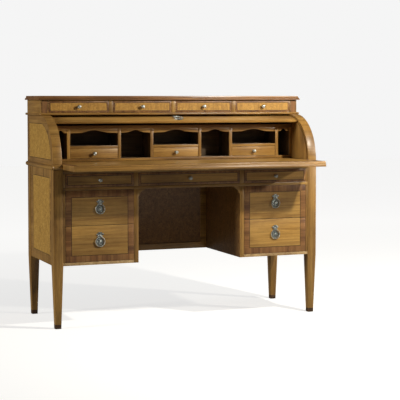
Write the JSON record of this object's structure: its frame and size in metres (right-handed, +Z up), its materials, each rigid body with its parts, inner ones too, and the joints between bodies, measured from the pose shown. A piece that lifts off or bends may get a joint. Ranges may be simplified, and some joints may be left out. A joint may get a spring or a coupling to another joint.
{
  "type": "roll top desk",
  "caption": "Roll top desk on tapered legs: two pedestals, a frieze of shallow drawers, a pull-out writing slide, pigeonholes under a tambour roll and a gallery of small drawers.",
  "frame": {"origin": "on the floor, below the middle of the desk's box as it stands with the writing slide drawn out", "axes": "+X to the sitter's right along the front, +Y from the front to the back, +Z up"},
  "size_m": [1.396, 0.699, 1.1],
  "materials": {
    "walnut": "waxed satin, straight grain",
    "burl": "waxed satin, burl figure",
    "ebonised": "black stained, satin",
    "pale_wood": "bare planed wood",
    "canvas": "woven cotton",
    "pewter": "aged silver grey, worn bright on the high spots",
    "brass": "plain turned"
  },
  "bodies": {
    "case": {"legs": "walnut", "leg_toes": "ebonised", "lower_sides": "burl", "lower_back": "walnut", "kneehole_sides": "burl", "kneehole_panel": "burl", "pedestal_boards": "pale_wood", "front_rails": "walnut", "drawer_runners": "pale_wood", "kneehole_brackets": "walnut", "deck_board": "pale_wood", "waist_moulding": "walnut", "upper_sides": "burl", "upper_back": "walnut", "pigeonhole_case": "walnut", "pigeonhole_partitions": "walnut", "pigeonhole_valances": "walnut", "gallery_case": "walnut", "gallery_screws": "brass", "cornice_top": "walnut", "gallery_bead": "walnut"},
    "roll": {"tambour_slats": "walnut", "tambour_canvas": "canvas", "lead_rail": "walnut", "lift_plate": "pewter"},
    "roll_pull": {"lift_ring": "pewter"},
    "writing_slide": {"slide_board": "burl", "slide_edge": "walnut"},
    "gallery_drawer_1": {"gallery_drawer_1": "walnut", "gallery_knob_1": "pewter"},
    "gallery_drawer_2": {"gallery_drawer_2": "walnut", "gallery_knob_2": "pewter"},
    "gallery_drawer_3": {"gallery_drawer_3": "walnut", "gallery_knob_3": "pewter"},
    "gallery_drawer_4": {"gallery_drawer_4": "walnut", "gallery_knob_4": "pewter"},
    "inner_drawer_1": {"inner_drawer_1": "walnut", "inner_knob_1": "pewter"},
    "inner_drawer_2": {"inner_drawer_2": "walnut", "inner_knob_2": "pewter"},
    "inner_drawer_3": {"inner_drawer_3": "walnut", "inner_knob_3": "pewter"},
    "frieze_drawer_1": {"frieze_drawer_1": "walnut", "frieze_knob_1": "pewter"},
    "frieze_drawer_2": {"frieze_drawer_2": "walnut", "frieze_knob_2": "pewter"},
    "frieze_drawer_3": {"frieze_drawer_3": "walnut", "frieze_knob_3": "pewter"},
    "pedestal_drawer_1": {"pedestal_drawer_1": "walnut", "pull_plate_1": "pewter"},
    "drawer_pull_1": {"pull_ring_1": "pewter"},
    "pedestal_drawer_2": {"pedestal_drawer_2": "walnut", "pull_plate_2": "pewter"},
    "drawer_pull_2": {"pull_ring_2": "pewter"},
    "pedestal_drawer_3": {"pedestal_drawer_3": "walnut", "pull_plate_3": "pewter"},
    "drawer_pull_3": {"pull_ring_3": "pewter"},
    "pedestal_drawer_4": {"pedestal_drawer_4": "walnut", "pull_plate_4": "pewter"},
    "drawer_pull_4": {"pull_ring_4": "pewter"}
  },
  "joints": [
    {"name": "roll_turn", "type": "hinge", "parent": "case", "child": "roll", "pos_m": [0, 0.0825, 0.775], "axis": [1, 0, 0], "range_deg": [0, 62.5]},
    {"name": "roll_pull_lift", "type": "hinge", "parent": "roll", "child": "roll_pull", "pos_m": [0, 0.03089, 0.99639], "axis": [-1, 0, 0], "range_deg": [0, 80]},
    {"name": "slide_push", "type": "slide", "parent": "case", "child": "writing_slide", "axis": [0, 1, 0], "range_m": [0, 0.19]},
    {"name": "gallery_drawer_1_pull", "type": "slide", "parent": "case", "child": "gallery_drawer_1", "axis": [0, -1, 0], "range_m": [0, 0.18]},
    {"name": "gallery_drawer_2_pull", "type": "slide", "parent": "case", "child": "gallery_drawer_2", "axis": [0, -1, 0], "range_m": [0, 0.18]},
    {"name": "gallery_drawer_3_pull", "type": "slide", "parent": "case", "child": "gallery_drawer_3", "axis": [0, -1, 0], "range_m": [0, 0.18]},
    {"name": "gallery_drawer_4_pull", "type": "slide", "parent": "case", "child": "gallery_drawer_4", "axis": [0, -1, 0], "range_m": [0, 0.18]},
    {"name": "inner_drawer_1_pull", "type": "slide", "parent": "case", "child": "inner_drawer_1", "axis": [0, -1, 0], "range_m": [0, 0.09]},
    {"name": "inner_drawer_2_pull", "type": "slide", "parent": "case", "child": "inner_drawer_2", "axis": [0, -1, 0], "range_m": [0, 0.09]},
    {"name": "inner_drawer_3_pull", "type": "slide", "parent": "case", "child": "inner_drawer_3", "axis": [0, -1, 0], "range_m": [0, 0.09]},
    {"name": "frieze_drawer_1_pull", "type": "slide", "parent": "case", "child": "frieze_drawer_1", "axis": [0, -1, 0], "range_m": [0, 0.3]},
    {"name": "frieze_drawer_2_pull", "type": "slide", "parent": "case", "child": "frieze_drawer_2", "axis": [0, -1, 0], "range_m": [0, 0.3]},
    {"name": "frieze_drawer_3_pull", "type": "slide", "parent": "case", "child": "frieze_drawer_3", "axis": [0, -1, 0], "range_m": [0, 0.3]},
    {"name": "pedestal_drawer_1_pull", "type": "slide", "parent": "case", "child": "pedestal_drawer_1", "axis": [0, -1, 0], "range_m": [0, 0.32]},
    {"name": "drawer_pull_1_lift", "type": "hinge", "parent": "pedestal_drawer_1", "child": "drawer_pull_1", "pos_m": [-0.458, -0.1535, 0.585], "axis": [-1, 0, 0], "range_deg": [0, 80]},
    {"name": "pedestal_drawer_2_pull", "type": "slide", "parent": "case", "child": "pedestal_drawer_2", "axis": [0, -1, 0], "range_m": [0, 0.32]},
    {"name": "drawer_pull_2_lift", "type": "hinge", "parent": "pedestal_drawer_2", "child": "drawer_pull_2", "pos_m": [-0.458, -0.1535, 0.4295], "axis": [-1, 0, 0], "range_deg": [0, 80]},
    {"name": "pedestal_drawer_3_pull", "type": "slide", "parent": "case", "child": "pedestal_drawer_3", "axis": [0, -1, 0], "range_m": [0, 0.32]},
    {"name": "drawer_pull_3_lift", "type": "hinge", "parent": "pedestal_drawer_3", "child": "drawer_pull_3", "pos_m": [0.458, -0.1535, 0.585], "axis": [-1, 0, 0], "range_deg": [0, 80]},
    {"name": "pedestal_drawer_4_pull", "type": "slide", "parent": "case", "child": "pedestal_drawer_4", "axis": [0, -1, 0], "range_m": [0, 0.32]},
    {"name": "drawer_pull_4_lift", "type": "hinge", "parent": "pedestal_drawer_4", "child": "drawer_pull_4", "pos_m": [0.458, -0.1535, 0.4295], "axis": [-1, 0, 0], "range_deg": [0, 80]}
  ]
}
